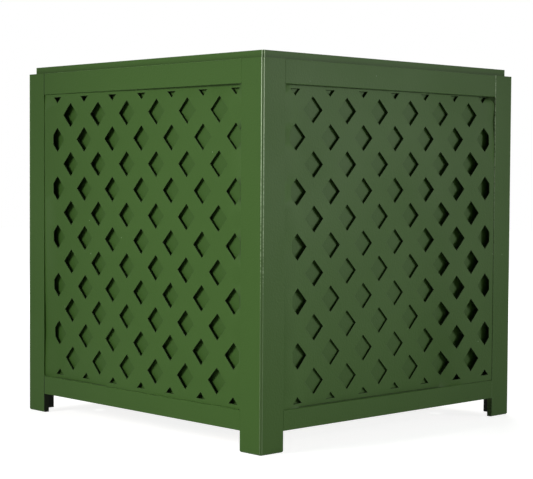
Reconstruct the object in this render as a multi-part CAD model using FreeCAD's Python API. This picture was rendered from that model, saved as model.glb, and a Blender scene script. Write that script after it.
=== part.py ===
import FreeCAD, Part
import math
import os

from FreeCAD import Vector

# A square garden planter: a surround of four frame-and-lattice faces on angle-shaped
# legs, and a loose inner box that stands in it and lifts straight out.
# Millimetres, +Z up, origin on the floor at the middle of the footprint.
# -Y is the front, +X the right. Every face is drawn as the front and turned about Z.

# Overall
width = 610.0              # outside of the legs, both ways
leg_height = 602.0
foot_clear = 33.0          # floor to the underside of the bottom rails
rim_rise = 12.0            # inner box above the leg tops

# Boards of the surround
board = 10.0               # thickness of stiles and rails
stile_width = 47.5
top_rail_height = 37.5
bottom_rail_height = 32.0
corner_ease = 2.8          # chamfer along the outside corner of each leg
edge_ease = 0.6            # small chamfer along the rails and the capping strips
seam_ease = 0.25           # finer one where rails meet stiles, which leaves a hairline
foot_ease = 2.0            # chamfer round the outside of each foot

# Lattice sheet and the groove that holds it
lattice_thickness = 2.4
lattice_setback = 3.6      # lattice front behind the face of the boards
groove_depth = 6.0
groove_play = 0.1          # each side of the sheet and of the tenons
groove_end_play = 0.5      # sheet and tenons stop short of the groove bottom
column_pitch = 77.5
row_pitch = 42.4
pattern_shift = 6.0        # holes to the right of the middle, seen from outside
hole_width = 37.0
hole_height = 41.0
side_margin = 12.7         # plain border of the sheet beside the stiles
end_margin = 6.3           # plain border along the rails
smallest_hole = 20.0       # square millimetres, below this a cut corner is left out

# Splines in the leg mitres
spline_thickness = 2.5
spline_width = 7.0
spline_play = 0.1
spline_stop = 20.0         # short of both leg ends

# Ledgers and cross bearers under the inner box
ledger_depth = 24.0
ledger_height = 28.0
ledger_drop = 2.0          # ledger top below the top of the bottom rail
bearer_width = 40.0
bearer_offset = 150.0      # each side of the middle
bearer_lap = 14.0
lap_play = 0.2

# Inner box
box_play = 1.5             # between box and boards, each side
seat_gap = 0.3             # box bottom above the ledgers
wall = 12.0
wall_rebate = 6.0          # lip of the front and back walls outside the side walls
cap_lip = 2.8              # capping strips stand out over the boards
cap_gap = 0.6              # capping strips above the leg tops
box_corner_ease = 2.8      # chamfer along each upright corner
floor_thickness = 12.0
floor_play = 0.2
cleat = 18.0
drain_radius = 10.0
drain_offset = 210.0

# Countersunk wood screws that hold the ledgers to the bottom rails
screw_radius = 1.75
screw_head_radius = 3.5
screw_sides = 12
screw_bite = 7.0           # into the rail
screw_play = 0.1
screw_offset = 210.0       # each side of the middle of the ledger

half = width / 2
opening_half = half - stile_width
inner_half = half - board
panel_bottom = foot_clear + bottom_rail_height
panel_top = leg_height - top_rail_height
tongue = groove_depth - groove_end_play
ledger_top = panel_bottom - ledger_drop
ledger_bottom = ledger_top - ledger_height
box_half = inner_half - box_play
box_bottom = ledger_top + seat_gap
box_top = leg_height + rim_rise
wall_top = leg_height + cap_gap
cap_half = box_half + cap_lip
wall_face = box_half - wall
floor_half = wall_face - floor_play
floor_top = box_bottom + floor_thickness
screw_length = ledger_depth + screw_bite

UP = Vector(0, 0, 1)
FACES = {"front": 0, "right": 90, "back": 180, "left": 270}
CORNERS = {"front_left": 0, "front_right": 90, "back_right": 180, "back_left": 270}
nodes = {}


def block(x, y, z):
    """Box between three pairs of limits."""
    size = (x[1] - x[0], y[1] - y[0], z[1] - z[0])
    return Part.makeBox(*size, Vector(x[0], y[0], z[0]))


def turned(shape, degrees):
    """Copy of a shape turned about the planter's upright axis."""
    copy = shape.copy()
    copy.rotate(Vector(0, 0, 0), UP, degrees)
    return copy


def mirrored(shape):
    """The same piece at the other end of the front face."""
    return shape.mirror(Vector(0, 0, 0), Vector(1, 0, 0))


def eased_front(shape):
    """Chamfer the edges of a rail that lie in the front plane, finer at its ends."""
    for ease, upright in ((edge_ease, False), (seam_ease, True)):
        edges = []
        for edge in shape.Edges:
            low, high = edge.Vertexes
            in_front = all(abs(vertex.Y + half) < 1e-6 for vertex in (low, high))
            if in_front and (abs(low.X - high.X) < 1e-6) == upright:
                edges.append(edge)
        shape = shape.makeChamfer(ease, edges)
    return shape


def eased_foot(shape):
    """Chamfer the outside edges of a leg board where it meets the floor."""
    edges = []
    for edge in shape.Edges:
        on_floor = all(abs(vertex.Z) < 1e-6 for vertex in edge.Vertexes)
        if on_floor and edge.CenterOfMass.y < -half + corner_ease / 2:
            edges.append(edge)
    return shape.makeChamfer(foot_ease, edges)


def groove_span(play):
    """Limits across the board of the lattice groove, or of what sits in it."""
    front = -half + lattice_setback
    return (front - play, front + lattice_thickness + play)


def spline_prism(play):
    """Spline across the mitre of the front left corner."""
    long = spline_width + 2 * play
    thick = spline_thickness + 2 * play
    low = spline_stop - play
    high = leg_height - spline_stop + play
    prism = block((-long / 2, long / 2), (-thick / 2, thick / 2), (low, high))
    prism.rotate(Vector(0, 0, 0), UP, -45)
    middle = -half + (corner_ease / 2 + board) / 2
    prism.translate(Vector(middle, middle, 0))
    return prism


def left_stile():
    """Leg board at the left of the front face, mitred at the corner."""
    inner = -half + stile_width
    back = -half + board
    points = [
        Vector(-half + corner_ease / 2, -half + corner_ease / 2, 0),
        Vector(-half + corner_ease, -half, 0),
        Vector(inner - seam_ease, -half, 0),
        Vector(inner, -half + seam_ease, 0),
        Vector(inner, back, 0),
        Vector(back, back, 0),
    ]
    outline = Part.makePolygon(points + points[:1])
    stile = eased_foot(Part.Face(outline).extrude(UP * leg_height))
    groove = block((inner - groove_depth, inner), groove_span(groove_play), (foot_clear, leg_height))
    return stile.cut(groove).cut(spline_prism(spline_play))


def rail(bottom, top, panel_edge):
    """Rail between the stiles, with stub tenons and a groove along the panel edge."""
    shape = eased_front(block((-opening_half, opening_half), (-half, -half + board), (bottom, top)))
    at_top = panel_edge == top
    groove = (top - groove_depth, top) if at_top else (bottom, bottom + groove_depth)
    tenon = (bottom, top - groove_depth) if at_top else (bottom + groove_depth, top)
    shape = shape.cut(block((-opening_half, opening_half), groove_span(groove_play), groove))
    reach = opening_half + tongue
    return shape.fuse(block((-reach, reach), groove_span(0), tenon)).removeSplitter()


def clipped(points, limit_x, limit_z):
    """Cut a convex outline in the XZ plane to a rectangle centred on the origin."""
    for axis, limit in (("x", limit_x), ("z", limit_z)):
        for sign in (1, -1):
            kept = []
            for a, b in zip(points, points[1:] + points[:1]):
                room_a = limit - sign * getattr(a, axis)
                room_b = limit - sign * getattr(b, axis)
                if room_a >= 0:
                    kept.append(a)
                if room_a * room_b < 0:
                    kept.append(a + (b - a) * (room_a / (room_a - room_b)))
            points = kept
    return points


def lattice_holes():
    """Outlines of the diamonds, every second row shifted by half a column."""
    limit_x = opening_half - side_margin
    limit_z = (panel_top - panel_bottom) / 2 - end_margin
    middle = Vector(pattern_shift, 0, (panel_top + panel_bottom) / 2)
    rows = int((limit_z + hole_height / 2) / row_pitch)
    columns = int((limit_x + hole_width / 2) / column_pitch) + 1
    diamond = [
        Vector(hole_width / 2, 0, 0),
        Vector(0, 0, hole_height / 2),
        Vector(-hole_width / 2, 0, 0),
        Vector(0, 0, -hole_height / 2),
    ]
    outlines = []
    for row in range(-rows, rows + 1):
        shift = 0.5 * (row % 2)
        for column in range(-columns, columns + 1):
            centre = Vector((column + shift) * column_pitch, 0, row * row_pitch)
            points = clipped([centre + corner for corner in diamond], limit_x, limit_z)
            if len(points) < 3:
                continue
            outline = Part.makePolygon([point + middle for point in points + points[:1]])
            if Part.Face(outline).Area > smallest_hole:
                outlines.append(outline)
    return outlines


def lattice():
    """Thin lattice sheet whose plain border sits in the grooves."""
    x = opening_half + tongue
    low = panel_bottom - tongue
    high = panel_top + tongue
    corners = [Vector(-x, 0, low), Vector(x, 0, low), Vector(x, 0, high), Vector(-x, 0, high)]
    border = Part.makePolygon(corners + corners[:1])
    sheet = Part.makeFace([border] + lattice_holes(), "Part::FaceMakerBullseye")
    sheet.translate(Vector(0, groove_span(0)[0], 0))
    return sheet.extrude(Vector(0, lattice_thickness, 0))


def ring(radius, z):
    """Closed outline round the Z axis, the flat-sided section of a screw."""
    points = []
    for side in range(screw_sides):
        angle = 2 * math.pi * side / screw_sides
        points.append(Vector(radius * math.cos(angle), radius * math.sin(angle), z))
    return Part.makePolygon(points + points[:1])


def screw(play=0.0):
    """Countersunk screw pointing down from the origin, or its bore when play is given."""
    shank = screw_radius + play
    head = screw_head_radius + play
    tip = -screw_length - play
    sections = [
        ring(head, 0),
        ring(shank, shank - head),
        ring(shank, tip + shank),
        Part.Vertex(0, 0, tip),
    ]
    return Part.makeLoft(sections, True, True)


def ledger_screws(play=0.0):
    """Screws, or bores, with their heads on the inner side of the front ledger."""
    y = -inner_half + ledger_depth
    z = (ledger_top + ledger_bottom) / 2
    shapes = []
    for x in (-screw_offset, screw_offset):
        shape = screw(play)
        shape.Placement = FreeCAD.Placement(Vector(x, y, z), FreeCAD.Rotation(-UP, Vector(0, -1, 0)))
        shapes.append(shape)
    return shapes


def bored(shape):
    """Shape with a bore for each ledger screw that passes through it."""
    return shape.cut(Part.Compound(ledger_screws(screw_play)))


def long_ledger():
    """Front ledger, wall to wall, notched for the ends of the cross bearers."""
    y = (-inner_half, -inner_half + ledger_depth)
    shape = block((-inner_half, inner_half), y, (ledger_bottom, ledger_top))
    notch = bearer_width / 2 + lap_play
    for x in (-bearer_offset, bearer_offset):
        shape = shape.cut(block((x - notch, x + notch), y, (ledger_top - bearer_lap, ledger_top)))
    return bored(shape)


def short_ledger():
    """Side ledger between the two long ones, drawn at the front."""
    x = inner_half - ledger_depth
    y = (-inner_half, -inner_half + ledger_depth)
    return bored(block((-x, x), y, (ledger_bottom, ledger_top)))


def cross_bearer(middle):
    """Bearer from front to back, half-lapped into the long ledgers."""
    x = (middle - bearer_width / 2, middle + bearer_width / 2)
    shape = block(x, (-inner_half, inner_half), (ledger_bottom, ledger_top))
    shoulder = inner_half - ledger_depth - lap_play
    for y in ((-inner_half, -shoulder), (shoulder, inner_half)):
        shape = shape.cut(block(x, y, (ledger_bottom, ledger_top - bearer_lap)))
    return shape


def long_wall():
    """Front wall of the inner box, rebated at both ends for the side walls."""
    z = (box_bottom, wall_top)
    shape = block((-box_half, box_half), (-box_half, -box_half + wall), z)
    corners = []
    for edge in shape.Edges:
        upright = abs(edge.Vertexes[0].Z - edge.Vertexes[1].Z) > wall
        if upright and abs(edge.Vertexes[0].Y + box_half) < 1e-6:
            corners.append(edge)
    shape = shape.makeChamfer(box_corner_ease, corners)
    rebate = (-box_half + wall_rebate, -box_half + wall)
    for x in ((-box_half, -box_half + wall), (box_half - wall, box_half)):
        shape = shape.cut(block(x, rebate, z))
    return shape


def short_wall():
    """Side wall of the inner box between the lips of the long ones, drawn at the front."""
    x = box_half - wall_rebate
    return block((-x, x), (-box_half, -box_half + wall), (box_bottom, wall_top))


def box_cap():
    """Capping strip along the top of the front wall, mitred at both ends."""
    left = [
        Vector(-wall_face, -wall_face, wall_top),
        Vector(-cap_half + box_corner_ease / 2, -cap_half + box_corner_ease / 2, wall_top),
        Vector(-cap_half + box_corner_ease, -cap_half, wall_top),
    ]
    right = [Vector(-point.x, point.y, point.z) for point in reversed(left)]
    outline = Part.makePolygon(left + right + left[:1])
    shape = Part.Face(outline).extrude(UP * (box_top - wall_top))
    edges = []
    for edge in shape.Edges:
        if all(abs(v.Y + cap_half) < 1e-6 and abs(v.Z - box_top) < 1e-6 for v in edge.Vertexes):
            edges.append(edge)
    return shape.makeChamfer(edge_ease, edges)


def box_floor():
    """Floor between the box walls, with a drain hole in the middle and in each quarter."""
    span = (-floor_half, floor_half)
    shape = block(span, span, (box_bottom, floor_top))
    places = [(0, 0)]
    for x in (-drain_offset, drain_offset):
        for y in (-drain_offset, drain_offset):
            places.append((x, y))
    for x, y in places:
        shape = shape.cut(Part.makeCylinder(drain_radius, floor_thickness, Vector(x, y, box_bottom)))
    return shape


def box_cleat(reach):
    """Cleat in the corner between floor and wall, drawn at the front."""
    y = (-wall_face, -wall_face + cleat)
    return block((-reach, reach), y, (floor_top, floor_top + cleat))


def build_surround():
    """Frames, lattice sheets and leg splines of the four faces."""
    stile = left_stile()
    top_rail = rail(panel_top, leg_height, panel_top)
    bottom_rail = bored(rail(foot_clear, panel_bottom, panel_bottom))
    pieces = {
        "stile_left": stile,
        "stile_right": mirrored(stile),
        "rail_top": top_rail,
        "rail_bottom": bottom_rail,
        "lattice": lattice(),
    }
    for face, degrees in FACES.items():
        for name, shape in pieces.items():
            nodes[face + "_" + name] = turned(shape, degrees)
    for corner, degrees in CORNERS.items():
        nodes["corner_spline_" + corner] = turned(spline_prism(0), degrees)


def build_bearers():
    """Ledgers, cross bearers and their screws."""
    screws = []
    for face, degrees in FACES.items():
        shape = long_ledger() if face in ("front", "back") else short_ledger()
        nodes["ledger_" + face] = turned(shape, degrees)
        screws += [turned(shape, degrees) for shape in ledger_screws()]
    nodes["ledger_screws"] = Part.Compound(screws)
    nodes["cross_bearer_left"] = cross_bearer(-bearer_offset)
    nodes["cross_bearer_right"] = cross_bearer(bearer_offset)


def build_box():
    """Inner box: walls, capping strips, floor and cleats."""
    for face, degrees in FACES.items():
        is_long = face in ("front", "back")
        nodes["box_wall_" + face] = turned(long_wall() if is_long else short_wall(), degrees)
        nodes["box_cap_" + face] = turned(box_cap(), degrees)
        reach = wall_face if is_long else wall_face - cleat
        nodes["box_cleat_" + face] = turned(box_cleat(reach), degrees)
    nodes["box_floor"] = box_floor()


def main():
    """Build every piece and write it to its own file."""
    build_surround()
    build_bearers()
    build_box()
    os.makedirs("parts", exist_ok=True)
    for name, shape in nodes.items():
        solids = shape.Solids
        assert solids and all(solid.isValid() for solid in solids), name
        shape.exportStep("parts/" + name + ".step")
    print(len(nodes), "nodes", sum(len(shape.Solids) for shape in nodes.values()), "solids")


main()
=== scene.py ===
"""Looks of a square lattice planter: painted surround, bowed lattice sheets, inner box and studio."""

import logging
import math
from dataclasses import dataclass, field
from enum import Enum

import bmesh
import bpy
from mathutils import Matrix, Vector
from mathutils.geometry import delaunay_2d_cdt


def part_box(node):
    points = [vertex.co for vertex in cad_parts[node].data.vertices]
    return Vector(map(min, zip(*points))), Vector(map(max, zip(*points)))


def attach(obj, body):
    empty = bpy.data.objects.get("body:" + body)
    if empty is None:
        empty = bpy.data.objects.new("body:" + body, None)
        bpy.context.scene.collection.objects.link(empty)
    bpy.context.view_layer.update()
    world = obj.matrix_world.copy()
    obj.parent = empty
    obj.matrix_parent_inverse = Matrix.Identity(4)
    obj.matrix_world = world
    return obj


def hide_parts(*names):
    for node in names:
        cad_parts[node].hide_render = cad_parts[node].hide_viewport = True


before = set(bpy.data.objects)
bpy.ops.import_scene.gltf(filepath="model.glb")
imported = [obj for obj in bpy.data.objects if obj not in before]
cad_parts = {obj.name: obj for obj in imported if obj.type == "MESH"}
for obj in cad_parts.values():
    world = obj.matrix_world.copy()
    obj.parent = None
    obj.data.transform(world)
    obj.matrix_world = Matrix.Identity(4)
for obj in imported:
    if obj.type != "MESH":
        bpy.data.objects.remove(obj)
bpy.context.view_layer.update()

MM = 0.001
# Each upright corner is eased to a small flat between two arrises.
CORNER_EASE = 2.8 * MM
LEG_HALF = -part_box("front_stile_right")[0].y
CAP_HALF = -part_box("box_cap_front")[0].y
WHITE = "#ffffff"
LOG = logging.getLogger("planter")

# The Mix node's sockets go by number, because their names repeat for each kind of value.
FLOAT_A, FLOAT_B, COLOUR_A, COLOUR_B = 2, 3, 6, 7
COLOUR_OUT = 2
# The kind of triangulation that fills outlines and nothing outside them.
INSIDE_OUTLINES = 1

Tree = bpy.types.NodeTree
Socket = bpy.types.NodeSocket


class Face(Enum):
    """The four sides of the planter, each with its turn about the upright axis in degrees."""

    FRONT = 0
    RIGHT = 90
    BACK = 180
    LEFT = 270

    @property
    def word(self) -> str:
        """Name of the side as it stands in the node names."""
        return self.name.lower()

    @property
    def turn(self) -> Matrix:
        """Rotation that takes the front to this side."""
        return Matrix.Rotation(math.radians(self.value), 4, "Z")


class Grain(Enum):
    """The axis along which the grain of a stick runs."""

    X = 0
    Y = 1
    Z = 2

    @classmethod
    def of(cls, node: str) -> "Grain":
        """Find the grain of a CAD node.

        Args:
            node: Name of the node.

        Returns:
            The axis of its longest side.
        """
        low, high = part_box(node)
        size = high - low
        return max(cls, key=lambda axis: size[axis.value])


def linear(hex_colour: str) -> tuple[float, float, float, float]:
    """Turn an sRGB hex colour into linear light.

    Args:
        hex_colour: Six hex digits, with or without a leading hash.

    Returns:
        Red, green, blue and an alpha of one.
    """
    digits = hex_colour.lstrip("#")
    channels = [int(digits[i:i + 2], 16) / 255 for i in (0, 2, 4)]
    light = [c / 12.92 if c <= 0.04045 else ((c + 0.055) / 1.055) ** 2.4 for c in channels]
    return (*light, 1.0)


def add(tree: Tree, kind: str, inputs: dict[str | int, object] | None = None,
        **settings: object) -> bpy.types.Node:
    """Add a node with its settings and links.

    Args:
        tree: Node tree that gets the node.
        kind: Node type without the ShaderNode prefix.
        inputs: Socket name or number to a value, or to an output socket to link from.
        settings: Properties set on the node.

    Returns:
        The new node.
    """
    node = tree.nodes.new("ShaderNode" + kind)
    for name, value in settings.items():
        setattr(node, name, value)
    for socket, value in (inputs or {}).items():
        if isinstance(value, Socket):
            tree.links.new(value, node.inputs[socket])
        else:
            node.inputs[socket].default_value = value
    return node


def per_metre(size_mm: float) -> float:
    """Texture scale at which one feature is about as wide as the given millimetres."""
    return 1.0 / (size_mm * MM)


def new_tree(name: str) -> tuple[bpy.types.Material, Tree, bpy.types.Node]:
    """Start an empty node material.

    Args:
        name: Name of the material.

    Returns:
        The material, its node tree and its output node.
    """
    material = bpy.data.materials.new(name)
    material.use_nodes = True
    tree = material.node_tree
    tree.nodes.clear()
    return material, tree, add(tree, "OutputMaterial")


@dataclass(frozen=True)
class SatinEnamel:
    """Satin alkyd enamel sprayed over primed board, rubbed pale along the arrises of each corner, with
    painted highlight on those arrises that is strongest near the top.

    The arris is given by its distance from the planter's middle, across a face.
    """

    name: str
    arris: float
    colour: str = "#42612a"
    drift_colour: str = "#3e5d27"
    drift_mm: float = 150.0
    roughness: float = 0.5
    roughness_drift: float = 0.05
    gloss: float = 0.1
    ior: float = 1.5
    # Nibs: specks of dust caught in the wet coat.
    nib_colour: str = "#7d9470"
    nib_spacing_mm: float = 40.0
    nib_mm: float = 1.3
    nib_core: float = 0.4
    nib_rarity: float = 0.6
    # Orange peel: the fine waves of a sprayed coat.
    peel_mm: float = 3.5
    peel_depth_mm: float = 0.4
    peel: float = 0.75
    # Rubbed lines, partly worn primer and partly painted highlight: their width and place at an arris, and
    # the heights between which they grow.
    primer_and_highlight_colour: str = "#c2d8b0"
    rub_mm: float = 0.85
    rub_core: float = 0.6
    rub_shift_mm: float = 0.1
    rub_and_highlight_low: float = 0.12
    rub_and_highlight_high: float = 0.56
    grit_mm: float = 3.0
    wear_and_highlight_start: float = 0.8
    wear_and_highlight_full: float = 1.35
    wear_and_highlight_least: float = 0.14
    # Painted light: how far the flat between the arrises is mixed towards the pale colour.
    flat_painted_light: float = 0.06

    def rubbed_and_highlit(self, tree: Tree, place: Socket) -> Socket:
        """Find where the coat is rubbed through to the primer and where painted highlight lies: both arrises
        of each upright corner.

        Args:
            tree: Node tree of the paint.
            place: Place in the planter's own coordinates.

        Returns:
            Amount of pale colour, worn primer and painted highlight, full near the top and broken into dots
            further down, with a little painted light on the flat between the arrises.
        """
        axes = add(tree, "SeparateXYZ", {0: place})
        across = [add(tree, "Math", {0: axes.outputs[i]}, operation="ABSOLUTE") for i in (0, 1)]
        inner = add(tree, "Math", {0: across[0].outputs[0], 1: across[1].outputs[0]}, operation="MINIMUM")
        off = add(tree, "Math", {0: inner.outputs[0], 1: self.arris - self.rub_shift_mm * MM},
                  operation="SUBTRACT")
        off = add(tree, "Math", {0: off.outputs[0]}, operation="ABSOLUTE")
        line = add(tree, "MapRange", {
            "Value": off.outputs[0], "From Min": self.rub_mm * MM,
            "From Max": self.rub_core * self.rub_mm * MM,
        })
        # The lines grow towards the top as painted highlight as well as wear.
        level = add(tree, "MapRange", {
            "Value": axes.outputs[2], "From Min": self.rub_and_highlight_low, "From Max": self.rub_and_highlight_high,
        })
        grit = add(tree, "TexNoise", {"Vector": place, "Scale": per_metre(self.grit_mm), "Detail": 2.0})
        wear = add(tree, "Math", {0: level.outputs["Result"], 1: grit.outputs["Fac"]}, operation="ADD")
        amount = add(tree, "MapRange", {
            "Value": wear.outputs[0], "From Min": self.wear_and_highlight_start, "From Max": self.wear_and_highlight_full,
            "To Min": self.wear_and_highlight_least,
        })
        lines = add(tree, "Math", {0: line.outputs["Result"], 1: amount.outputs["Result"]},
                    operation="MULTIPLY")
        # The flat between the two arrises is drawn a little paler: painted light where the lamps reach it
        # less.
        flat = add(tree, "Math", {0: inner.outputs[0], 1: self.arris}, operation="GREATER_THAN")
        return add(tree, "Math", {0: flat.outputs[0], 1: self.flat_painted_light, 2: lines.outputs[0]},
                   operation="MULTIPLY_ADD").outputs[0]

    def marks(self, tree: Tree, place: Socket, coat: Socket) -> Socket:
        """Leave the coat as it is, where a piece has nothing more that marks it."""
        return coat

    def material(self) -> bpy.types.Material:
        """Build the enamel.

        Returns:
            Node material in the planter's own coordinates.
        """
        material, tree, output = new_tree(self.name)
        place = add(tree, "TexCoord").outputs["Object"]
        # A sprayed satin coat gives the eye one even green with a broad, blurred sheen. It is a
        # little thinner in broad patches, which drift in tone and shine.
        drift = add(tree, "TexNoise", {
            "Vector": place, "Scale": per_metre(self.drift_mm), "Detail": 3.0,
        })
        drift_mix = add(tree, "Mix", {
            "Factor": drift.outputs["Fac"],
            COLOUR_A: linear(self.colour), COLOUR_B: linear(self.drift_colour),
        }, data_type="RGBA")
        # Few nibs of dust in the coat, each a pale dot, drawn larger than the real ones so that it shows.
        cells = add(tree, "TexVoronoi", {"Vector": place, "Scale": per_metre(self.nib_spacing_mm)})
        nib_radius = self.nib_mm / self.nib_spacing_mm
        dot = add(tree, "MapRange", {
            "Value": cells.outputs["Distance"], "From Min": nib_radius,
            "From Max": self.nib_core * nib_radius,
        })
        chance = add(tree, "SeparateColor", {"Color": cells.outputs["Color"]})
        rare = add(tree, "Math", {0: chance.outputs["Red"], 1: self.nib_rarity}, operation="GREATER_THAN")
        nibs = add(tree, "Math", {0: dot.outputs["Result"], 1: rare.outputs[0]}, operation="MULTIPLY")
        specked = add(tree, "Mix", {
            "Factor": nibs.outputs[0],
            COLOUR_A: drift_mix.outputs[COLOUR_OUT], COLOUR_B: linear(self.nib_colour),
        }, data_type="RGBA")
        # Pale arrises: worn primer together with painted highlight.
        worn_and_highlit = add(tree, "Mix", {
            "Factor": self.rubbed_and_highlit(tree, place),
            COLOUR_A: specked.outputs[COLOUR_OUT], COLOUR_B: linear(self.primer_and_highlight_colour),
        }, data_type="RGBA")
        # Orange peel of sprayed enamel is 2 to 3 mm, drawn a little coarser so that it shows.
        peel = add(tree, "TexNoise", {"Vector": place, "Scale": per_metre(self.peel_mm), "Detail": 2.0})
        bump = add(tree, "Bump", {
            "Height": peel.outputs["Fac"], "Strength": self.peel, "Distance": self.peel_depth_mm * MM,
        })
        shine = add(tree, "MapRange", {
            "Value": drift.outputs["Fac"], "To Min": self.roughness - self.roughness_drift,
            "To Max": self.roughness + self.roughness_drift,
        })
        shader = add(tree, "BsdfPrincipled", {
            "Base Color": self.marks(tree, place, worn_and_highlit.outputs[COLOUR_OUT]),
            "Roughness": shine.outputs["Result"], "IOR": self.ior,
            "Specular IOR Level": self.gloss, "Normal": bump.outputs["Normal"],
        })
        tree.links.new(shader.outputs[0], output.inputs["Surface"])
        return material


@dataclass(frozen=True)
class BoardEnamel(SatinEnamel):
    """Satin enamel on the frame's boards: hairlines where joints have opened, and painted shade, near black,
    on the boards' inner side.
    """

    # Places on the frame: the joint of stile and rail, the boards' inner side, the opening's ends.
    joint: float = 0.0
    inside: float = 0.0
    inside_slack_mm: float = 0.5
    # Painted shade: the near-black colour of the boards' inner side.
    inner_shade_colour: str = "#10170b"
    opening_low: float = 0.0
    opening_high: float = 0.0
    # Hairlines: their width, and how far from the worked legs they fade out.
    crack_colour: str = "#18220f"
    crack_mm: float = 1.1
    crack_core: float = 0.4
    worked_near: float = 0.1
    worked_far: float = 0.5
    # Chips along a joint: the heights between which they grow, and how broken they are.
    chip_low: float = 0.25
    chip_high: float = 0.5
    chip_least: float = 0.1
    chip_start: float = 0.28
    chip_full: float = 0.55

    def marks(self, tree: Tree, place: Socket, coat: Socket) -> Socket:
        """Draw the joints of stile and rail, dark where they have opened and pale where they have chipped.

        Args:
            tree: Node tree of the paint.
            place: Place in the planter's own coordinates.
            coat: Colour of the sound coat.

        Returns:
            Colour with the hairlines, and with painted shade on the boards' inner side.
        """
        x, y, z = add(tree, "SeparateXYZ", {0: place}).outputs[:3]
        sizes = [add(tree, "Math", {0: axis}, operation="ABSOLUTE").outputs[0] for axis in (x, y)]
        inner, outer = (add(tree, "Math", {0: sizes[0], 1: sizes[1]}, operation=which).outputs[0]
                        for which in ("MINIMUM", "MAXIMUM"))
        # The paint has chipped at the back right, and only there.
        corner = add(tree, "Math", {0: x, 1: y}, operation="ADD")
        chipped = add(tree, "Math", {0: corner.outputs[0], 1: 0.0}, operation="GREATER_THAN")
        share = add(tree, "Mix", {
            "Factor": chipped.outputs[0],
            FLOAT_A: self.railed(tree, z), FLOAT_B: self.chips(tree, place, z),
        })
        amount = add(tree, "Math", {0: self.opened(tree, x, y, inner), 1: share.outputs[0]},
                     operation="MULTIPLY")
        bare = add(tree, "Mix", {
            "Factor": chipped.outputs[0],
            COLOUR_A: linear(self.crack_colour), COLOUR_B: linear(self.primer_and_highlight_colour),
        }, data_type="RGBA")
        lined = add(tree, "Mix", {
            "Factor": amount.outputs[0], COLOUR_A: coat, COLOUR_B: bare.outputs[COLOUR_OUT],
        }, data_type="RGBA")
        # The boards' inner side is painted near black: painted shade under and behind the box.
        in_inner_shade = add(tree, "Math", {0: outer, 1: self.inside + self.inside_slack_mm * MM},
                     operation="LESS_THAN")
        return add(tree, "Mix", {
            "Factor": in_inner_shade.outputs[0],
            COLOUR_A: lined.outputs[COLOUR_OUT], COLOUR_B: linear(self.inner_shade_colour),
        }, data_type="RGBA").outputs[COLOUR_OUT]

    def opened(self, tree: Tree, x: Socket, y: Socket, inner: Socket) -> Socket:
        """Find the hairlines beside the legs that have worked: the front left and the back right.

        Args:
            tree: Node tree of the paint.
            x: Place across the planter.
            y: Place along the planter.
            inner: The smaller of the two, which runs across a face.

        Returns:
            One on a hairline of those two legs, less away from it and none at the other two legs.
        """
        off = add(tree, "Math", {0: inner, 1: self.joint}, operation="SUBTRACT")
        off = add(tree, "Math", {0: off.outputs[0]}, operation="ABSOLUTE")
        line = add(tree, "MapRange", {
            "Value": off.outputs[0], "From Min": self.crack_mm * MM,
            "From Max": self.crack_core * self.crack_mm * MM,
        })
        slant = add(tree, "Math", {0: x, 1: y}, operation="SUBTRACT")
        slant = add(tree, "Math", {0: slant.outputs[0]}, operation="ABSOLUTE")
        worked = add(tree, "MapRange", {
            "Value": slant.outputs[0], "From Min": self.worked_far, "From Max": self.worked_near,
        })
        return add(tree, "Math", {0: line.outputs["Result"], 1: worked.outputs["Result"]},
                   operation="MULTIPLY").outputs[0]

    def chips(self, tree: Tree, place: Socket, z: Socket) -> Socket:
        """Break the paint along a joint into chips, most of all near the top.

        Args:
            tree: Node tree of the paint.
            place: Place in the planter's own coordinates.
            z: Height above the ground.

        Returns:
            Amount of paint that is gone.
        """
        level = add(tree, "MapRange", {
            "Value": z, "From Min": self.chip_low, "From Max": self.chip_high, "To Min": self.chip_least,
        })
        grit = add(tree, "TexNoise", {"Vector": place, "Scale": per_metre(self.grit_mm), "Detail": 2.0})
        gone = add(tree, "MapRange", {
            "Value": grit.outputs["Fac"], "From Min": self.chip_start, "From Max": self.chip_full,
        })
        return add(tree, "Math", {0: level.outputs["Result"], 1: gone.outputs["Result"]},
                   operation="MULTIPLY").outputs[0]

    def railed(self, tree: Tree, z: Socket) -> Socket:
        """Keep to the joints with the rails, above and below the lattice.

        Args:
            tree: Node tree of the paint.
            z: Height above the ground.

        Returns:
            One beside a rail, none beside the lattice.
        """
        middle = (self.opening_low + self.opening_high) / 2
        off = add(tree, "Math", {0: z, 1: middle}, operation="SUBTRACT")
        off = add(tree, "Math", {0: off.outputs[0]}, operation="ABSOLUTE")
        return add(tree, "Math", {0: off.outputs[0], 1: (self.opening_high - self.opening_low) / 2},
                   operation="GREATER_THAN").outputs[0]


@dataclass(frozen=True)
class RimEnamel(SatinEnamel):
    """Satin enamel on the capping strips: painted shade darkens them where they rise behind the rails."""

    rail_top: float = 0.0
    rail_shade_mm: float = 7.0
    rail_shade: float = 0.45
    rail_shade_colour: str = "#1c2a08"

    def marks(self, tree: Tree, place: Socket, coat: Socket) -> Socket:
        """Draw the painted shade, darkest at the rail and gone a few millimetres above it.

        Args:
            tree: Node tree of the paint.
            place: Place in the planter's own coordinates.
            coat: Colour of the coat without the shade.

        Returns:
            Colour with the painted shade.
        """
        height = add(tree, "SeparateXYZ", {0: place}).outputs[2]
        # Painted shade at the foot of the strips, just above the rails' top.
        amount = add(tree, "MapRange", {
            "Value": height, "From Min": self.rail_top + self.rail_shade_mm * MM, "From Max": self.rail_top,
            "To Max": self.rail_shade,
        })
        return add(tree, "Mix", {
            "Factor": amount.outputs["Result"], COLOUR_A: coat, COLOUR_B: linear(self.rail_shade_colour),
        }, data_type="RGBA").outputs[COLOUR_OUT]


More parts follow.
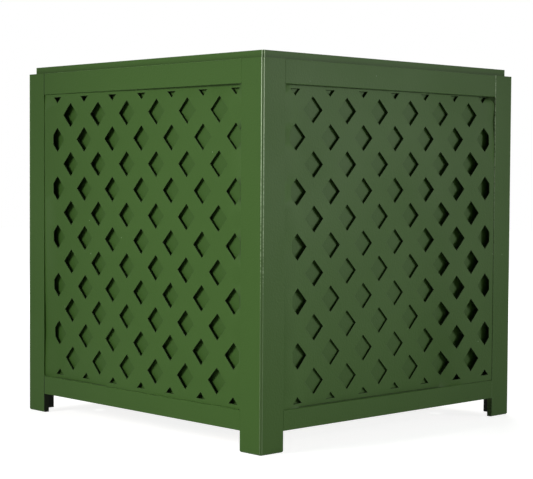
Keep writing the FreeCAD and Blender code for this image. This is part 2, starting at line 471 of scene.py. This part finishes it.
@dataclass(frozen=True)
class SheetEnamel(SatinEnamel):
    """Satin enamel on the lattice sheets, darker on the cut edges and arrises of the holes: painted shade.
    """

    # Painted shade on the holes' cut edges and arrises: its colour, the turn where it starts and is full,
    # and its strength.
    edge_shade_colour: str = "#1a2410"
    edge_start: float = 0.985
    edge_full: float = 0.87
    edge: float = 0.85

    def marks(self, tree: Tree, place: Socket, coat: Socket) -> Socket:
        """Paint shade wherever the surface turns away from the sheet's own face.

        Args:
            tree: Node tree of the paint.
            place: Place in the planter's own coordinates.
            coat: Colour of the full coat.

        Returns:
            Colour with the painted shade on the edges.
        """
        normal = add(tree, "TexCoord").outputs["Normal"]
        sizes, turns = ([
            add(tree, "Math", {0: axis}, operation="ABSOLUTE").outputs[0]
            for axis in add(tree, "SeparateXYZ", {0: vector}).outputs[:2]
        ] for vector in (place, normal))
        # A sheet of the left or right face lies further out along x than along y.
        sideways = add(tree, "Math", {0: sizes[0], 1: sizes[1]}, operation="GREATER_THAN")
        facing = add(tree, "Mix", {"Factor": sideways.outputs[0], FLOAT_A: turns[1], FLOAT_B: turns[0]})
        # The more the surface turns from the sheet's face, the darker it is painted: painted shade.
        amount = add(tree, "MapRange", {
            "Value": facing.outputs[0], "From Min": self.edge_start, "From Max": self.edge_full,
            "To Max": self.edge,
        })
        return add(tree, "Mix", {
            "Factor": amount.outputs["Result"], COLOUR_A: coat, COLOUR_B: linear(self.edge_shade_colour),
        }, data_type="RGBA").outputs[COLOUR_OUT]


@dataclass(frozen=True)
class SawnSpruce:
    """Bare sawn spruce, with its grain along one axis."""

    name: str
    along: Grain
    early_colour: str = "#cfae7b"
    late_colour: str = "#a97f4b"
    late_start: float = 0.42
    late_full: float = 0.68
    roughness: float = 0.75
    ring_mm: float = 5.0
    ring_wander: float = 0.6
    lengthwise: float = 0.04
    fuzz: float = 0.25
    fuzz_mm: float = 0.5

    def material(self) -> bpy.types.Material:
        """Build the timber.

        Returns:
            Node material with grain along the chosen axis.
        """
        material, tree, output = new_tree(self.name)
        place = add(tree, "TexCoord").outputs["Object"]
        # Sawn spruce gives the eye pale straw with darker late-wood lines along it, dry and matt.
        # Its growth rings are 2 to 3 mm, drawn coarser so that they show.
        stretch = [1.0, 1.0, 1.0]
        stretch[self.along.value] = self.lengthwise
        grain = add(tree, "Mapping", {"Vector": place, "Scale": stretch})
        rings = add(tree, "TexNoise", {
            "Vector": grain.outputs[0], "Scale": per_metre(self.ring_mm), "Detail": 4.0,
            "Distortion": self.ring_wander,
        })
        late = add(tree, "MapRange", {
            "Value": rings.outputs["Fac"], "From Min": self.late_start, "From Max": self.late_full,
        })
        colour = add(tree, "Mix", {
            "Factor": late.outputs["Result"],
            COLOUR_A: linear(self.early_colour), COLOUR_B: linear(self.late_colour),
        }, data_type="RGBA")
        bump = add(tree, "Bump", {
            "Height": rings.outputs["Fac"], "Strength": self.fuzz, "Distance": self.fuzz_mm * MM,
        })
        shader = add(tree, "BsdfPrincipled", {
            "Base Color": colour.outputs[COLOUR_OUT], "Roughness": self.roughness,
            "Normal": bump.outputs["Normal"],
        })
        tree.links.new(shader.outputs[0], output.inputs["Surface"])
        return material


@dataclass(frozen=True)
class ZincPlate:
    """Zinc plated on steel screws."""

    name: str = "Zinc plated steel"
    bright_colour: str = "#b9bdc0"
    dull_colour: str = "#8f9498"
    bright_roughness: float = 0.25
    dull_roughness: float = 0.5
    patch_mm: float = 2.0

    def material(self) -> bpy.types.Material:
        """Build the plating.

        Returns:
            Metal with patches of duller zinc.
        """
        material, tree, output = new_tree(self.name)
        place = add(tree, "TexCoord").outputs["Object"]
        # Plated zinc gives the eye a bluish grey metal with a soft, slightly patchy shine.
        patch = add(tree, "TexNoise", {
            "Vector": place, "Scale": per_metre(self.patch_mm), "Detail": 3.0,
        })
        colour = add(tree, "Mix", {
            "Factor": patch.outputs["Fac"],
            COLOUR_A: linear(self.bright_colour), COLOUR_B: linear(self.dull_colour),
        }, data_type="RGBA")
        rough = add(tree, "MapRange", {
            "Value": patch.outputs["Fac"], "To Min": self.bright_roughness, "To Max": self.dull_roughness,
        })
        shader = add(tree, "BsdfPrincipled", {
            "Base Color": colour.outputs[COLOUR_OUT], "Roughness": rough.outputs["Result"],
            "Metallic": 1.0,
        })
        tree.links.new(shader.outputs[0], output.inputs["Surface"])
        return material


def dress(node: str, material: bpy.types.Material) -> None:
    """Give a CAD node its finish.

    Args:
        node: Name of the node.
        material: Finish that fills every material slot.
    """
    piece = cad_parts[node]
    if not piece.material_slots:
        piece.data.materials.append(material)
    for slot in piece.material_slots:
        slot.material = material
    LOG.info("dressed %s in %s", node, material.name)


@dataclass(frozen=True)
class Bow:
    """How far a thin sheet has bowed towards the inner box, in millimetres of depth."""

    middle: float = 0.0
    side_lean: float = 0.0
    top_lean: float = 0.0
    twist: float = 0.0
    cup_across: float = 0.0
    cup_upright: float = 0.0
    side_bend: float = 0.0
    cup_twist: float = 0.0
    top_hold: float = 0.0
    stop: float = 5.0
    proud: float = 3.1

    def depth(self, across: float, up: float) -> float:
        """Depth of the bow at one place.

        Args:
            across: Place across the sheet, from -1 at its left edge to 1 at its right.
            up: Place up the sheet, from -1 at the bottom to 1 at the top.

        Returns:
            Depth in metres, within the box behind and the frame in front.
        """
        swell = (self.middle + self.side_lean * across + self.top_lean * up + self.twist * across * up
                 + self.cup_across * across ** 2 + self.cup_upright * up ** 2
                 + self.side_bend * across ** 3 + self.cup_twist * across ** 2 * up)
        centre, reach = (self.stop - self.proud) / 2, (self.stop + self.proud) / 2
        return (centre + reach * math.tanh((swell - centre) / reach)) * MM


@dataclass(frozen=True)
class Lay:
    """How far a sheet's holes are off the square: rise and slide in millimetres, the rest as ratios."""

    rise: float = 0.0
    lean: float = 0.0
    tilt: float = 0.0
    slide: float = 0.0
    stretch: float = 0.0

    def place(self, point: Vector) -> Vector:
        """Move a point of the true pattern to where it was cut.

        Args:
            point: Place on the sheet, across and up from the middle of the pattern.

        Returns:
            The place after the move.
        """
        return Vector((
            point.x * (1 + self.stretch) + self.slide * MM - self.lean * point.y,
            point.y + self.rise * MM + self.tilt * point.x,
        ))


@dataclass(frozen=True)
class Reach:
    """How far a sheet or an opening reaches on its face: half its width, its bottom and its top."""

    half_width: float
    bottom: float
    top: float

    @property
    def middle(self) -> float:
        """Height of its middle above the ground."""
        return (self.bottom + self.top) / 2

    @property
    def half_height(self) -> float:
        """Half of its height."""
        return (self.top - self.bottom) / 2


@dataclass
class LatticeSheet:
    """Thin sheet with rows of upright diamonds, held by its edges and bowed in the middle."""

    face: Face
    bow: Bow
    lay: Lay
    # The pattern of holes, and the plain margins between it and the frame.
    column_pitch: float = 77.5 * MM
    row_pitch: float = 42.4 * MM
    pattern_shift: float = 6.0 * MM
    hole_width: float = 41.0 * MM
    hole_height: float = 41.0 * MM
    side_margin: float = 12.7 * MM
    end_margin: float = 6.3 * MM
    smallest_side: float = 4.0 * MM
    # The bend beside the frame, within which the sheet leaves the line of its grooves.
    bend_out: float = 0.8 * MM
    bend_in: float = 5.0 * MM
    bend_end: float = 0.7 * MM
    top_ease: float = 28.0 * MM
    side_lift: float = 2.4 * MM
    lift_share: float = 1.5
    # The mesh: the length of its steps, its softened edges, and the angles of those in degrees.
    edge_step: float = 11.0 * MM
    net_tolerance: float = 1e-7
    arris: float = 0.8 * MM
    arris_steps: int = 3
    crease: float = 25.0
    corner: float = 50.0

    def on_front(self, node: str) -> list[Vector]:
        """Low and high corner of one of this face's CAD nodes, turned to the front."""
        return [self.face.turn.inverted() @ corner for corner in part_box(self.face.word + "_" + node)]

    def opening(self) -> Reach:
        """Read the frame's opening from its CAD boards.

        Returns:
            Reach of the opening.
        """
        return Reach(
            half_width=min(abs(corner.x) for corner in self.on_front("stile_left")),
            bottom=self.on_front("rail_bottom")[1].z,
            top=self.on_front("rail_top")[0].z,
        )

    @staticmethod
    def clipped(points: list[Vector], limit: Vector) -> list[Vector]:
        """Cut a convex outline to a rectangle about the origin.

        Args:
            points: Corners of the outline.
            limit: Half width and half height of the rectangle.

        Returns:
            Corners of what is left.
        """
        for axis in (0, 1):
            for sign in (1, -1):
                kept = []
                for a, b in zip(points, points[1:] + points[:1]):
                    room_a = limit[axis] - sign * a[axis]
                    room_b = limit[axis] - sign * b[axis]
                    if room_a >= 0:
                        kept.append(a)
                    if room_a * room_b < 0:
                        kept.append(a.lerp(b, room_a / (room_a - room_b)))
                points = kept
        return points

    @staticmethod
    def spread(outline: list[Vector]) -> float:
        """Smaller side of an outline's box."""
        return min(max(p[i] for p in outline) - min(p[i] for p in outline) for i in (0, 1))

    def diamonds(self, opening: Reach) -> list[list[Vector]]:
        """Lay out the holes, every second row shifted by half a column.

        Args:
            opening: The frame's opening.

        Returns:
            Outlines, from the middle of the opening.
        """
        limit = Vector((opening.half_width - self.side_margin, opening.half_height - self.end_margin))
        half_width, half_height = self.hole_width / 2, self.hole_height / 2
        tips = [(half_width, 0), (0, half_height), (-half_width, 0), (0, -half_height)]
        rows = int((limit.y + half_height) / self.row_pitch)
        columns = int((limit.x + half_width) / self.column_pitch) + 1
        shift = Vector((self.pattern_shift, 0))
        holes = []
        for row in range(-rows, rows + 1):
            for column in range(-columns, columns + 1):
                centre = Vector(((column + 0.5 * (row % 2)) * self.column_pitch, row * self.row_pitch))
                outline = self.clipped([centre + Vector(tip) for tip in tips], limit)
                if len(outline) > 2 and self.spread(outline) > self.smallest_side:
                    holes.append([self.lay.place(p) + shift for p in outline])
        return holes

    def stepped(self, outline: list[Vector]) -> list[Vector]:
        """Divide an outline's sides so that the sheet can bend.

        Args:
            outline: Corners of a closed outline.

        Returns:
            The corners with even steps between them.
        """
        points = []
        for a, b in zip(outline, outline[1:] + outline[:1]):
            steps = max(1, round((b - a).length / self.edge_step))
            points += [a.lerp(b, i / steps) for i in range(steps)]
        return points

    def net(self, opening: Reach, holes: list[list[Vector]]) -> tuple[list[Vector], list[list[int]]]:
        """Divide the flat sheet into triangles, with its holes left out.

        Args:
            opening: The frame's opening.
            holes: Outlines of the holes.

        Returns:
            Points from the middle of the opening, and the triangles between them.
        """
        corners = self.on_front("lattice")
        edge = max(abs(corner.x) for corner in corners)
        bottom, top = (corner.z - opening.middle for corner in corners)
        border = [Vector(p) for p in ((-edge, bottom), (edge, bottom), (edge, top), (-edge, top))]
        # The grooves hold the sheet true, and it leaves that line within a short bend beside the frame.
        bend_x, bend_z = opening.half_width - self.bend_out, opening.half_height - self.bend_end
        bend = [Vector((x * bend_x, z * bend_z)) for x, z in ((-1, -1), (1, -1), (1, 1), (-1, 1))]
        points, rings = [], []
        for outline in [border, *holes, bend]:
            steps = self.stepped(outline)
            rings.append(list(range(len(points), len(points) + len(steps))))
            points += steps
        bend_ring = rings.pop()
        bend_edges = list(zip(bend_ring, bend_ring[1:] + bend_ring[:1]))
        flat, _, triangles, _, _, owners = delaunay_2d_cdt(
            points, bend_edges, rings, INSIDE_OUTLINES, self.net_tolerance)
        # A triangle that only the border encloses is sheet, one that a hole encloses too is not.
        return flat, [triangle for triangle, owner in zip(triangles, owners) if owner == [0]]

    def swell(self, point: Vector, opening: Reach) -> float:
        """Work out how deep the sheet lies at a point: true in its grooves, bowed in the open.

        Args:
            point: Place on the sheet, from the middle of the opening.
            opening: The frame's opening.

        Returns:
            Depth behind the true sheet in metres, less than none where it stands proud.
        """
        half_width, half_height = opening.half_width, opening.half_height
        bow = self.bow.depth(point.x / half_width, point.y / half_height)
        bow *= 1 - self.bow.top_hold * max(0.0, 1 - (half_height - point.y) / self.top_ease) ** 2
        side, end = half_width - abs(point.x), half_height - abs(point.y)
        if bow > 0:
            # Where it bows in, the sheet presses on the front lip of the stile's groove.
            away = min(1.0, max(0.0, side / self.bend_in))
            bow = bow * away - min(self.side_lift, self.lift_share * bow) * (1 - away)
        return bow * min(1.0, max(0.0, min(side / self.bend_out, end / self.bend_end)))

    def shell(self, opening: Reach, flat: list[Vector], triangles: list[list[int]]) -> bmesh.types.BMesh:
        """Raise the net to a bowed sheet with a front, a back and cut edges.

        Args:
            opening: The frame's opening.
            flat: Points of the net.
            triangles: Triangles between them.

        Returns:
            Closed mesh of the sheet in the front face's place.
        """
        mesh = bmesh.new()
        swells = [self.swell(p, opening) for p in flat]
        front, back = ([
            mesh.verts.new((p.x, depth + swell, p.y + opening.middle)) for p, swell in zip(flat, swells)
        ] for depth in sorted(corner.y for corner in self.on_front("lattice")))
        for triangle in triangles:
            mesh.faces.new([front[i] for i in triangle])
            mesh.faces.new([back[i] for i in reversed(triangle)])
        place = {vert: i for i, vert in enumerate(front)}
        rims = [edge for edge in mesh.edges if len(edge.link_faces) == 1 and edge.verts[0] in place]
        for edge in rims:
            a, b = (place[vert] for vert in edge.verts)
            mesh.faces.new((front[a], front[b], back[b], back[a]))
        loose = [vert for vert in mesh.verts if not vert.link_faces]
        bmesh.ops.delete(mesh, geom=loose, context="VERTS")
        bmesh.ops.recalc_face_normals(mesh, faces=mesh.faces)
        for face in mesh.faces:
            face.smooth = True
        for edge in mesh.edges:
            edge.smooth = edge.calc_face_angle(math.pi) < math.radians(self.crease)
        return mesh

    def build(self, material: bpy.types.Material) -> bpy.types.Object:
        """Mesh the sheet, bow it, soften its edges and put it in its frame.

        Args:
            material: Paint of the sheet.

        Returns:
            The finished piece, which stands for the CAD sheet.
        """
        opening = self.opening()
        holes = self.diamonds(opening)
        mesh = self.shell(opening, *self.net(opening, holes))
        mesh.transform(self.face.turn)
        name = self.face.word + "_lattice_sheet"
        data = bpy.data.meshes.new(name)
        mesh.to_mesh(data)
        mesh.free()
        data.materials.append(material)
        piece = bpy.data.objects.new(name, data)
        bpy.context.scene.collection.objects.link(piece)
        soften = piece.modifiers.new("softened edges", "BEVEL")
        soften.width = self.arris
        soften.segments = self.arris_steps
        soften.limit_method = "ANGLE"
        soften.angle_limit = math.radians(self.corner)
        soften.harden_normals = True
        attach(piece, "surround")
        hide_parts(self.face.word + "_lattice")
        LOG.info("built %s with %d holes", name, len(holes))
        return piece


@dataclass
class Surround:
    """Four frame-and-panel faces on angle-shaped legs."""

    board_paint: BoardEnamel
    sheet_paint: SheetEnamel
    boards: tuple[str, ...] = ("stile_left", "stile_right", "rail_top", "rail_bottom")
    bows: dict[Face, Bow] = field(default_factory=lambda: {
        Face.FRONT: Bow(middle=1.3, side_lean=0.6, top_lean=-0.1, twist=4.7, cup_across=-2.3,
                        cup_upright=0.4, side_bend=3.1, cup_twist=-1.9, top_hold=0.4),
        Face.RIGHT: Bow(middle=5.3, side_lean=-3.7, top_lean=-4.9, twist=5.2, cup_across=-13.2,
                        cup_upright=3.8, side_bend=-4.3, cup_twist=15.8),
        Face.BACK: Bow(middle=2.4, side_lean=0.6, top_lean=-0.8, twist=-2.2, cup_across=-1.6,
                       cup_upright=-0.8),
        Face.LEFT: Bow(middle=2.8, side_lean=0.4, top_lean=0.5, twist=2.4, cup_across=-2.4,
                       cup_upright=-1.2),
    })
    lays: dict[Face, Lay] = field(default_factory=lambda: {
        Face.FRONT: Lay(rise=0.4, lean=0.0011, slide=3.5, stretch=-0.019),
        Face.RIGHT: Lay(rise=2.2, lean=0.0146, tilt=0.01, slide=-1.9, stretch=-0.015),
        Face.BACK: Lay(rise=-0.8, lean=-0.004, tilt=0.002),
        Face.LEFT: Lay(rise=1.0, lean=0.003, tilt=-0.003),
    })

    def build(self) -> None:
        """Dress the boards and make the four lattice sheets."""
        board_paint = self.board_paint.material()
        sheet_paint = self.sheet_paint.material()
        for face in Face:
            for board in self.boards:
                dress(face.word + "_" + board, board_paint)
            LatticeSheet(face, self.bows[face], self.lays[face]).build(sheet_paint)


@dataclass
class Bearers:
    """Bare timber under the inner box, and the splines and screws that hold the surround together."""

    sticks: tuple[str, ...] = ("ledger_", "cross_bearer", "corner_spline")
    screws: str = "ledger_screws"
    screw_plate: ZincPlate = ZincPlate()

    def build(self) -> None:
        """Dress each stick with grain along its length, and the screws in zinc."""
        timber = {axis: SawnSpruce("Sawn spruce along " + axis.name.lower(), axis).material()
                  for axis in Grain}
        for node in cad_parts:
            if node.startswith(self.sticks) and node != self.screws:
                dress(node, timber[Grain.of(node)])
        dress(self.screws, self.screw_plate.material())


@dataclass
class InnerBox:
    """Loose painted box that holds the soil."""

    cap_paint: RimEnamel
    wall_paint: SatinEnamel

    def build(self) -> None:
        """Dress the walls, capping strips and floor in paint, the cleats in bare timber."""
        cap_paint = self.cap_paint.material()
        wall_paint = self.wall_paint.material()
        timber = {axis: SawnSpruce("Sawn spruce cleats along " + axis.name.lower(), axis).material()
                  for axis in (Grain.X, Grain.Y)}
        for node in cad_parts:
            if node.startswith("box_cap"):
                dress(node, cap_paint)
            elif node.startswith(("box_wall", "box_floor")):
                dress(node, wall_paint)
            elif node.startswith("box_cleat"):
                dress(node, timber[Grain.of(node)])


@dataclass(frozen=True)
class Softbox:
    """One soft lamp of the studio, placed round the planter in degrees and metres."""

    name: str
    azimuth: float
    distance: float
    height: float
    wide: float
    tall: float
    power: float
    aim: tuple[float, float, float] = (0.0, 0.0, 0.32)
    spread: float = 180.0

    def build(self) -> None:
        """Hang the lamp and aim it at the planter."""
        data = bpy.data.lights.new(self.name, "AREA")
        data.shape = "RECTANGLE"
        data.size = self.wide
        data.size_y = self.tall
        data.energy = self.power
        data.spread = math.radians(self.spread)
        lamp = bpy.data.objects.new(self.name, data)
        angle = math.radians(self.azimuth)
        place = Vector((math.sin(angle) * self.distance, -math.cos(angle) * self.distance, self.height))
        lamp.location = place
        lamp.rotation_euler = (Vector(self.aim) - place).to_track_quat("-Z", "Y").to_euler()
        lamp.visible_camera = False
        bpy.context.scene.collection.objects.link(lamp)
        LOG.info("hung %s", self.name)


@dataclass
class Studio:
    """White floor, soft lamps and a camera at the photograph's viewing angle."""

    floor_radius: float = 9.0
    floor_sides: int = 96
    floor_colour: str = "#b4b4b2"
    shadow_near: float = 0.7
    shadow_far: float = 2.2
    shadow_glow: float = 0.86
    ambient: float = 0.07
    lamps: tuple[Softbox, ...] = (
        Softbox("left softbox", azimuth=-10.0, distance=2.6, height=1.3, wide=1.0, tall=1.0, power=6.2,
                aim=(0.36, -0.3, 0.28), spread=52.0),
        Softbox("right softbox", azimuth=125.0, distance=2.9, height=0.72, wide=0.9, tall=0.9, power=5.45,
                aim=(0.305, -0.93, 0.27), spread=52.7),
        Softbox("back softbox", azimuth=222.0, distance=3.0, height=2.2, wide=1.5, tall=1.5, power=62.0),
        Softbox("top softbox", azimuth=0.0, distance=0.0, height=2.4, wide=0.3, tall=0.3, power=0.7,
                spread=17.0),
    )
    # The camera: angles in degrees, places in metres, lens and sensor in millimetres, then pixels.
    camera_azimuth: float = 46.3202
    camera_distance: float = 2.6858
    camera_height: float = 0.4266
    camera_pitch: float = 2.5805
    camera_yaw: float = -0.0797
    camera_roll: float = 0.3502
    lens: float = 101.36
    sensor: float = 36.0
    image_width: int = 533
    principal_drop: float = 2.384

    def build(self) -> None:
        """Set up the whole studio."""
        self.build_floor()
        self.build_world()
        for lamp in self.lamps:
            lamp.build()
        self.build_camera()
        bpy.context.scene.view_settings.view_transform = "Standard"

    @staticmethod
    def seen(tree: Tree) -> Socket:
        """Tell rays that see the background, straight or in gloss or glass, from rays that light the object.

        Args:
            tree: Node tree of the floor or the world.

        Returns:
            One for a ray that sees, none for one that lights.
        """
        path = add(tree, "LightPath")
        rays = [path.outputs["Is " + kind + " Ray"] for kind in ("Camera", "Glossy", "Transmission")]
        either = add(tree, "Math", {0: rays[0], 1: rays[1]}, operation="MAXIMUM")
        return add(tree, "Math", {0: either.outputs[0], 1: rays[2]}, operation="MAXIMUM").outputs[0]

    def build_floor(self) -> None:
        """Lay the pale floor: white to the eye, with the object's soft shadow on it."""
        material, tree, output = new_tree("Pale studio floor")
        matt = add(tree, "BsdfDiffuse", {"Color": linear(self.floor_colour)})
        # Near the planter the glow leaves room for its shadow, further out it is full white.
        place = add(tree, "TexCoord").outputs["Object"]
        reach = add(tree, "VectorMath", {0: place}, operation="LENGTH")
        level = add(tree, "MapRange", {
            "Value": reach.outputs["Value"], "From Min": self.shadow_near, "From Max": self.shadow_far,
            "To Min": self.shadow_glow,
        })
        glow = add(tree, "Emission", {"Color": linear(WHITE), "Strength": level.outputs["Result"]})
        bright = add(tree, "AddShader", {0: matt.outputs[0], 1: glow.outputs[0]})
        mix = add(tree, "MixShader", {"Fac": self.seen(tree), 1: matt.outputs[0], 2: bright.outputs[0]})
        tree.links.new(mix.outputs[0], output.inputs["Surface"])
        mesh = bmesh.new()
        bmesh.ops.create_circle(mesh, cap_ends=True, segments=self.floor_sides, radius=self.floor_radius)
        data = bpy.data.meshes.new("studio_floor")
        mesh.to_mesh(data)
        mesh.free()
        data.materials.append(material)
        floor = bpy.data.objects.new("studio_floor", data)
        bpy.context.scene.collection.objects.link(floor)
        LOG.info("laid %s", floor.name)

    def build_world(self) -> None:
        """Surround the studio with even light that is white where it is seen."""
        world = bpy.data.worlds.new("Studio")
        bpy.context.scene.world = world
        world.use_nodes = True
        tree = world.node_tree
        tree.nodes.clear()
        level = add(tree, "MapRange", {"Value": self.seen(tree), "To Min": self.ambient})
        sky = add(tree, "Background", {"Color": linear(WHITE), "Strength": level.outputs["Result"]})
        output = add(tree, "OutputWorld")
        tree.links.new(sky.outputs[0], output.inputs["Surface"])

    def build_camera(self) -> None:
        """Stand the camera where the photograph was taken from."""
        azimuth, pitch, yaw, roll = (math.radians(angle) for angle in (
            self.camera_azimuth, self.camera_pitch, self.camera_yaw, self.camera_roll))
        up = Vector((0, 0, 1))
        ahead = Vector((-math.sin(azimuth - yaw), math.cos(azimuth - yaw), 0))
        side = Vector((ahead.y, -ahead.x, 0))
        look = ahead * math.cos(pitch) - up * math.sin(pitch)
        top = up * math.cos(pitch) + ahead * math.sin(pitch)
        right = side * math.cos(roll) + top * math.sin(roll)
        top = top * math.cos(roll) - side * math.sin(roll)
        data = bpy.data.cameras.new("photo camera")
        data.lens = self.lens
        data.sensor_width = self.sensor
        data.shift_y = self.principal_drop / self.image_width
        camera = bpy.data.objects.new("photo camera", data)
        place = Vector((
            math.sin(azimuth) * self.camera_distance, -math.cos(azimuth) * self.camera_distance,
            self.camera_height,
        ))
        turn = Matrix((right, top, -look)).transposed().to_4x4()
        camera.matrix_world = Matrix.Translation(place) @ turn
        bpy.context.scene.collection.objects.link(camera)
        bpy.context.scene.camera = camera
        LOG.info("stood %s", camera.name)


def main() -> None:
    """Build the planter's looks and its studio."""
    logging.basicConfig(level=logging.INFO, format="%(message)s")
    leg_arris, box_arris = LEG_HALF - CORNER_EASE, CAP_HALF - CORNER_EASE
    rail_low, rail_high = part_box("front_rail_top")
    Surround(
        BoardEnamel("Satin enamel on boards", leg_arris, joint=-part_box("front_stile_left")[1].x,
                    inside=-rail_high.y, opening_low=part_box("front_rail_bottom")[1].z,
                    opening_high=rail_low.z),
        SheetEnamel("Satin enamel on lattice", leg_arris),
    ).build()
    Bearers().build()
    InnerBox(
        RimEnamel("Satin enamel on capping strips", box_arris, rail_top=rail_high.z),
        # The inner box is a slightly darker green than the surround and its own capping strips: painted
        # shade for the walls behind the holes.
        SatinEnamel("Satin enamel on inner box", box_arris, colour="#3d5b26", drift_colour="#395723"),
    ).build()
    Studio().build()


if __name__ == "__main__":
    main()
